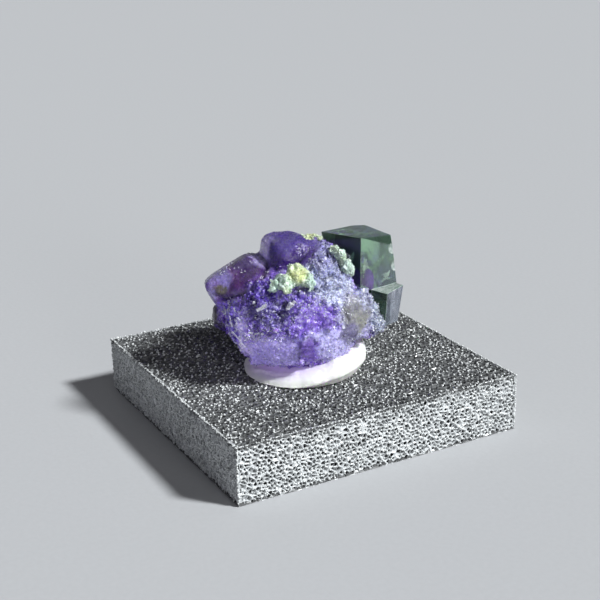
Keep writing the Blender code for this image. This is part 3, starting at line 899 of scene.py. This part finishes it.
def coat_crystals(mesh, random, crusty):
    """The small crystals on the mass: their centres, sides and rotations, and how pale each is, which on the
    sparkles and flakes is painted glint.
    """
    points, ways = surface(mesh)
    found = []
    for spacing, small, large, swing, share, white in COAT:
        chosen = scattered(mesh, random, spacing)
        chosen = chosen[random.random(len(chosen)) < crusty[chosen] * share]
        edge = random.uniform(small, large, len(chosen))
        sunk = random.uniform(0.1, 0.4, (len(edge), 1))
        centres = points[chosen] - ways[chosen] * edge[:, None] * sunk
        sides = uneven(random, edge)
        matrices = towards(GLINT) @ turns(random, len(chosen), swing)
        found.append((centres, sides, matrices, (random.random(len(edge)) < white) * 0.5))
    for centre, radii, count, edges, way in SPARKLES:
        near = np.flatnonzero(soft_inside(points, centre, radii) > 0.5)
        chosen = random.choice(near, min(count, len(near)), replace=False)
        centres = points[chosen] + ways[chosen] * 0.02
        sides = edges * random.uniform(0.5, 1.5, (len(chosen), 3))
        matrices = towards(way) @ turns(random, len(chosen), 25)
        found.append((centres, sides, matrices, random.uniform(0.5, 1.0, len(chosen))))
    for centre, edges, turn in PALE_FLAKES:
        found.append(([centre], [edges], turns(random, 1, 0, turn), [1.0]))
    return (np.concatenate(part) for part in zip(*found))


def purple_mass(green_tree):
    """The purple mass and its coat of small crystals."""
    random = np.random.default_rng(SEEDS["purple_mass"])
    mesh = remeshed("purple_fluorite", MASS_VOXEL)
    reach(mesh, green_tree, 0.55, 0.04)
    crusty, painted_shade, facet, scatter = mass_relief(mesh, random)
    centres, sides, matrices, pale_and_glint_shares = coat_crystals(mesh, random, crusty)
    corners, faces = cubes(centres, sides, matrices)
    coat = mesh_of("purple_coat", to_metres(corners), faces)

    colour, smooth = purple_looks(surface(mesh)[0], scatter)
    lightness = colour.mean(1)
    count = facet.max() + 1
    shades = random.lognormal(0.0, 0.32, count)[facet]
    frosted = (random.random(count) < FROST_SHARE)[facet] * np.clip(2.0 * lightness, 0.1, 0.5) * painted_shade
    few = np.maximum(crusty, 0.15)
    colour *= (shades**few * painted_shade)[:, None]
    colour += (FROST - colour) * (frosted * few)[:, None]
    keep_looks(mesh, colour, smooth, lightness)

    colour, _ = purple_looks(corners, 0)
    lightness = colour.mean(1)
    colour *= np.repeat(random.uniform(0.5, 1.7, len(sides)), 8)[:, None]
    # Paleness: the crystals' own, and painted glint on the sparkles and flakes
    pale = np.repeat(pale_and_glint_shares, 8)[:, None]
    colour = colour * (1 - pale) + PALE_AND_GLINT_WHITE * pale
    keep_looks(coat, colour, np.repeat(random.uniform(0.1, 0.9, len(sides)), 8), lightness)
    return mesh, coat


def pale_crystals(node, purple_tree, seed, yellow, spacing, edges, flat):
    """A lump or crust of pale crystals around a CAD node's shape."""
    random = np.random.default_rng(seed)
    mesh = remeshed(node, PALE_VOXEL)
    reach(mesh, purple_tree, 0.7, 0.2)
    points, ways = surface(mesh)
    points = points + ways * (waves(points, 0.9, seed, 2) * 0.08 - 0.02)[:, None]
    points[:, 2] -= (points[:, 2] - points[:, 2].min()) * (1 - flat)
    set_points(mesh, to_metres(points))
    softened(mesh, np.full(len(points), 0.8), 9)
    faceted(mesh, random, 0.55, 0.4, 0.08, 1.0)
    points, ways = surface(mesh)
    chosen = scattered(mesh, random, spacing)
    edge = random.uniform(*edges, len(chosen))
    centres = points[chosen] - ways[chosen] * edge[:, None] * 0.15
    first = with_crystals(mesh, centres, uneven(random, edge), turns(random, len(edge), 60))
    points, _ = surface(mesh)
    yellow = yellow + waves(points, 0.9, seed) * 0.5 + 0.6 * soft_inside(points, *YELLOWEST)
    share = np.clip(yellow, 0, 1)[:, None]
    colour = MINT * (1 - share) + CREAM * share
    colour[first:] *= np.repeat(random.uniform(0.75, 1.25, len(edge)), 8)[:, None]
    store_tint(mesh, colour)
    return mesh


def grown(node, by):
    """A CAD node's shape, larger by this many millimetres all round."""
    bm = welded(node)
    bm.normal_update()
    ways = [v.normal.copy() for v in bm.verts]
    for v, way in zip(bm.verts, ways):
        v.co += way * by * MM
    return mesh_from(bm, node)


def hull(mesh):
    """The convex shape around a mesh."""
    bm = bmesh.new()
    bm.from_mesh(mesh)
    kept = set(bmesh.ops.convex_hull(bm, input=bm.verts)["geom"])
    bmesh.ops.delete(bm, geom=[face for face in bm.faces if face not in kept], context="FACES")
    bmesh.ops.delete(bm, geom=[v for v in bm.verts if not v.link_faces], context="VERTS")
    bmesh.ops.recalc_face_normals(bm, faces=bm.faces)
    return mesh_from(bm, "hull")


def filled(node, inner):
    """A bmesh of a CAD node's shape with the room around the inner node filled in."""
    filling = linked("filling", hull(grown(inner, CAD_GAP + FILLING_LAP)))
    mesh = applied(grown(node, 0), "BOOLEAN", operation="UNION", solver="EXACT", object=filling)
    bpy.data.objects.remove(filling)
    bm = bmesh.new()
    bm.from_mesh(mesh)
    return bm


def green_face(middle, way):
    """The material of a face of the clear crystal, from its middle and the way it looks."""
    if any(np.linalg.norm(middle - centre) < radius for centre, radius in GREEN_CHIPS):
        return CHIPPED_AND_PAINTED_LIGHT
    if way[2] > 0.8 and middle[2] < STEP_TOP:  # the step's top, pale as painted light from above
        return CHIPPED_AND_PAINTED_LIGHT
    if way[1] < -0.2 and (way[2] > 0.4 or (way[0] < -0.3 and abs(way[2]) < 0.5)):  # front-top and front-left faces, a darker green that is painted shade
        return PAINTED_SHADE_FACE
    if way[0] > 0.3 and way[1] < 0 and middle[0] > STEP_LEFT and middle[2] < STEP_MIDDLE:  # its right face
        return CLOUDY
    return PLAIN


def green_crystal():
    """The clear crystal without the room that the solid keeps for the zone inside it, and with its long
    edges blunted."""
    bm = filled("green_fluorite", "purple_phantom")
    bmesh.ops.dissolve_limit(bm, angle_limit=math.radians(1), verts=bm.verts, edges=bm.edges)
    sharp = [
        e
        for e in bm.edges
        if len(e.link_faces) == 2
        and min(f.calc_area() for f in e.link_faces) > LARGE_FACE
        and e.calc_face_angle() > math.radians(12)
    ]
    bevelled = bmesh.ops.bevel(
        bm, geom=sharp, offset=EDGE_WEAR * MM, segments=1, affect="EDGES", clamp_overlap=True
    )
    bm.normal_update()
    for face in bm.faces:
        middle, way = to_specimen(face.calc_center_median()), to_specimen(face.normal * MM)
        face.material_index = green_face(middle, way)
    # Upright bevels and those low on the step take the pale material: partly wear, partly painted highlight
    # lines along the edges
    for face in bevelled["faces"]:
        span = np.ptp([v.co for v in face.verts], axis=0)
        upright = span[2] > 0.6 * np.linalg.norm(span)
        if upright or to_specimen(face.calc_center_median())[2] < STEP_TOP:
            face.material_index = WORN_AND_GLINT
    return mesh_from(bm, "green_crystal")


def veils():
    """Healed cracks inside the clear crystal, each a curved sheet of tiny bright flakes."""
    random = np.random.default_rng(SEEDS["veils"])
    centres, edges = [], []
    for middle, across, down, count in VEILS:
        u, v = random.normal(0, 0.33, (2, count))
        bow = np.cross(across, down)
        bow /= np.linalg.norm(bow)
        spots = middle + u[:, None] * across + v[:, None] * down
        spots += ((u * u + 0.6 * u * v) * 0.5 + random.normal(0, 0.02, count))[:, None] * bow
        centres.append(spots)
        edges.append(random.uniform(0.03, 0.1, count))
    centres, edges = np.concatenate(centres), np.concatenate(edges)
    points, faces = cubes(centres, uneven(random, edges), turns(random, len(edges), 90))
    return mesh_of("veils", to_metres(points), faces)


def phantom():
    """The purple zone, large enough to reach most of the way to the crystal around it."""
    mesh = applied(grown("purple_phantom", 0.9 * CAD_GAP), "SUBSURF", levels=1)
    points, _ = surface(mesh)
    set_points(mesh, to_metres(points + PHANTOM_SHIFT))
    mesh.shade_smooth()
    return mesh


def gap_to(tree, points):
    """How far points in the specimen's axes are from a solid's surface."""
    return np.array([tree.find_nearest(Vector(p))[3] / MM for p in to_metres(points)])


def putty_disc(purple_tree):
    """The pressed disc: down on the foam, thin at its left, with a rounded and rippled rim."""
    mesh = remeshed("putty", PUTTY_VOXEL)
    reach(mesh, purple_tree, 0.6, 0.1)
    points, ways = surface(mesh)
    free = gap_to(purple_tree, points) > 0.8
    low = points[:, 2] < PAD_TOP + CAD_GAP + 0.15  # its underside
    points[:, 2] -= low * (CAD_GAP + 0.05)
    centre = (points.min(0) + points.max(0)) / 2
    lowest = points[:, 2].min()
    spread = 0.985 - 0.02 * np.clip(1 - (points[:, 2] - lowest) / 0.5, 0, 1)
    thin = np.clip((1.0 - points[:, 0]) / 6, 0, 1)
    points[:, 2] -= (points[:, 2] - lowest) * 0.3 * thin * free
    points[:, :2] = centre[:2] + (points[:, :2] - centre[:2]) * spread[:, None]
    away = np.linalg.norm(points[:, :2] - centre[:2], axis=1) / np.ptp(points[:, 0]) * 2
    rim = np.sqrt(np.clip(1 - (np.clip(away - 0.78, 0, 1) / 0.22) ** 2, 0.1, 1))
    front = np.clip((2.5 - points[:, 0]) / 3, 0, 1)
    points[:, 2] -= (points[:, 2] - lowest) * (1 - rim) * front
    ripple = waves(points, 2.6, 31, 2) * 0.16 + waves(points, 0.8, 32, 2) * 0.05
    points = points + ways * ripple[:, None] * ~low[:, None]
    set_points(mesh, to_metres(points))
    # Painted light: a violet tint on the putty near the mass, strongest at its front left, for light that
    # comes through the crystal
    left = np.clip((2.5 - points[:, 0]) / 6, 0, 1) * np.clip(-points[:, 1] / 4, 0, 1)
    near = np.clip(1.3 - gap_to(purple_tree, points) / 1.3, 0, 1)
    store(mesh, "lilac", "FLOAT", near * (0.25 + 0.75 * left))
    return mesh


# Stage


def camera():
    """The photo's camera, which looks down from the specimen's front and is rolled a little."""
    data = bpy.data.cameras.new("camera")
    data.lens = CAMERA_LENS
    data.clip_start = MM
    made = linked("camera", data)
    made.matrix_world = (
        Matrix.Translation(Vector(CAMERA_AT) * MM)
        @ Matrix.Rotation(SPECIMEN_TURN, 4, "Z")
        @ Matrix.Rotation(math.pi / 2 - CAMERA_PITCH, 4, "X")
        @ Matrix.Rotation(-CAMERA_ROLL, 4, "Z")
    )
    bpy.context.scene.camera = made


def aimed(name, kind, way, strength, colour):
    """A lamp that shines from this way, in the specimen's axes."""
    data = bpy.data.lights.new(name, kind)
    data.energy, data.color = strength, colour
    made = linked(name, data)
    made.rotation_euler = Vector(to_metres(way)).to_track_quat("Z", "Y").to_euler()
    return made


def sun(name, way, width, strength, colour):
    """A far lamp, width degrees across."""
    aimed(name, "SUN", way, strength, colour).data.angle = math.radians(width)


def snoot(spot, way, radius, strength, colour):
    """A small lamp that lights only this far round a spot."""
    lamp = aimed("snoot", "SPOT", way, strength * 4 * math.pi * (GLOW_DISTANCE * MM) ** 2, colour)
    lamp.location = to_metres(spot + np.array(way) / np.linalg.norm(way) * GLOW_DISTANCE)
    lamp.data.spot_size = 2 * math.atan(radius / GLOW_DISTANCE)
    lamp.data.spot_blend = 0.8
    lamp.data.shadow_soft_size = GLOW_SIZE * MM


def stage():
    """The table under the pad, the lamps and the studio's own light."""
    bm = bmesh.new()
    bmesh.ops.create_grid(bm, x_segments=4, y_segments=4, size=3.0)
    floor = linked("floor", mesh_from(bm, "floor"))
    floor.data.materials.append(floor_material())
    sun("key", *KEY)
    sun("front", *FRONT)
    sun("fill", *FILL)
    snoot(*GLOW)
    sun("rim", *RIM)
    world = bpy.data.worlds.new("studio")
    world.use_nodes = True
    sky = world.node_tree.nodes["Background"].inputs
    sky["Color"].default_value, sky["Strength"].default_value = SKY
    bpy.context.scene.world = world
    bpy.context.scene.view_settings.view_transform = "Standard"


def add_piece(name, mesh, materials, slot, nodes):
    """Dresses a mesh in its materials, puts it on the body and hides these CAD nodes in its place."""
    kinds = np.zeros(len(mesh.polygons), np.int32)
    mesh.polygons.foreach_get("material_index", kinds)
    mesh.materials.clear()  # which also sets every face's index to 0
    for material in materials:
        mesh.materials.append(material)
    mesh.polygons.foreach_set("material_index", kinds)
    piece = new_object(name, mesh)
    if nodes:
        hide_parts(*nodes)


def main():
    purple_tree = tree_of("purple_fluorite")
    mass, coat = purple_mass(tree_of("green_fluorite"))
    # One foam in three greys: the sides' far lighter ones are painted light, the bottom's slightly darker
    # ones painted shade
    top_foam = (foam_material((0.04, 0.08), (0.11, 0.22)), glint_bead_material())
    bottom_foam = (foam_material((0.03, 0.06), (0.09, 0.19)),)
    side_foam = (foam_material((0.26, 0.46), (0.66, 0.92)), glint_bead_material())
    glass = (
        green_material("green_fluorite", (0.78, 0.92, 0.81)),
        worn_and_glint_material(),
        chipped_and_painted_light_material(),
        # A darker green for the front-top and front-left faces: painted shade
        green_material("green_fluorite_painted_shade", (0.42, 0.74, 0.52)),
        cloudy_material(),
    )
    top, bottom, sides = foam_shell()
    pieces = [
        ("foam_inside_painted_shade", foam_inside_painted_shade(), (core_painted_shade_material(),), "foam", ()),
        ("foam_top", top, top_foam, "foam", ()),
        ("foam_bottom", bottom, bottom_foam, "foam", ()),
        ("foam_sides", sides, side_foam, "foam", ("foam_pad",)),
        ("putty_disc", putty_disc(purple_tree), (putty_material(),), "putty", ("putty",)),
        ("purple_mass", mass, (purple_material(),), "purple_crystal", ("purple_fluorite",)),
        ("purple_coat", coat, (purple_material(),), "purple_crystal", ()),
        ("green_crystal", green_crystal(), glass, "green_crystal", ("green_fluorite",)),
        ("green_crystal_veils", veils(), (veil_material(),), "green_crystal", ()),
        ("phantom_zone", phantom(), (phantom_material(),), "phantom", ("purple_phantom",)),
    ]
    for node, looks in PALE_PIECES.items():
        mesh = pale_crystals(node, purple_tree, *looks)
        pieces.append((node + "_crystals", mesh, (pale_material(),), "pale_crystal", (node,)))
    for piece in pieces:
        add_piece(*piece)
    camera()
    stage()


main()
